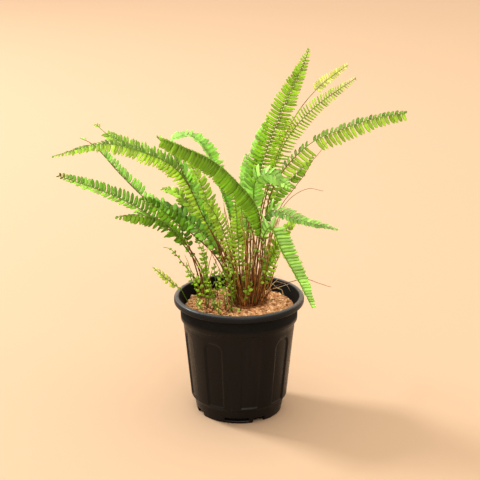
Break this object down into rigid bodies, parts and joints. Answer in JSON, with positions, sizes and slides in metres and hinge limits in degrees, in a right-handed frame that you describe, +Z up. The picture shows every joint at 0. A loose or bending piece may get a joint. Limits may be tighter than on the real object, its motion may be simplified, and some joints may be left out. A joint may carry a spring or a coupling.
{
  "type": "potted fern",
  "caption": "Potted sword fern: arching fronds, young shoots, runners and aerial roots on crowns in potting mix, in a round fluted black nursery pot that stands on its flat base.",
  "frame": {"origin": "middle of the pot's flat underside, on the surface that it stands on", "axes": "+Z up through the pot's mouth, +X to the plant's right as it is mostly seen, -Y towards the viewer"},
  "size_m": [0.3803, 0.2638, 0.4153],
  "materials": {
    "pot_plastic": "semi-matte black moulded plastic",
    "potting_mix": "rough coir and bark crumbs",
    "crown": "brown scales and root fibre",
    "leaf_deep": "satin leaf, dark green",
    "leaf_mid": "satin leaf, mid green",
    "leaf_bright": "satin leaf, bright green",
    "leaf_pale": "thin leaf, yellow-green",
    "leaf_blue": "satin leaf, cool green",
    "runner": "wiry brown stalk",
    "root": "pale tan root"
  },
  "bodies": {
    "root": {"pot": "pot_plastic", "potting_mix": "potting_mix", "crown_main": "crown", "crown_left_offset": "crown", "frond_left_long": "leaf_bright", "frond_left_rising": "leaf_blue", "frond_left_back": "leaf_mid", "frond_left_low": "leaf_blue", "frond_left_dark": "leaf_deep", "frond_left_deep": "leaf_mid", "frond_left_second": "leaf_blue", "frond_left_shaded": "leaf_deep", "frond_left_inner": "leaf_bright", "frond_kinked": "leaf_blue", "frond_broad": "leaf_mid", "frond_top_arch": "leaf_blue", "frond_mid_left": "leaf_bright", "frond_yellow_mid": "leaf_bright", "frond_short_mid": "leaf_bright", "frond_tall": "leaf_bright", "frond_second_tall": "leaf_bright", "frond_thin_tip": "leaf_pale", "frond_right_long": "leaf_bright", "frond_right_spare": "leaf_mid", "frond_right_low": "leaf_blue", "frond_drooping": "leaf_blue", "frond_curved_small": "leaf_bright", "frond_right_small": "leaf_bright", "frond_back_upright": "leaf_blue", "frond_tall_twin": "leaf_blue", "frond_pale_right": "leaf_blue", "frond_back": "leaf_mid", "shoot_over_rim": "leaf_pale", "shoot_thin": "leaf_mid", "shoot_upright": "leaf_bright", "shoot_short": "leaf_bright", "shoot_front": "leaf_bright", "shoot_back_left": "leaf_mid", "shoot_centre": "leaf_bright", "shoot_left_tuft": "leaf_bright", "shoot_creeping": "leaf_bright", "shoot_mid": "leaf_bright", "shoot_tall": "leaf_bright", "runner_right_long": "runner", "runner_right_fork": "runner", "runner_right_low": "runner", "old_stalk_front": "runner", "old_stalk_right": "runner", "old_stalk_left": "runner", "root_arch_inner": "root", "root_arch_outer": "root", "root_across": "root", "root_left": "root"}
  },
  "joints": []
}
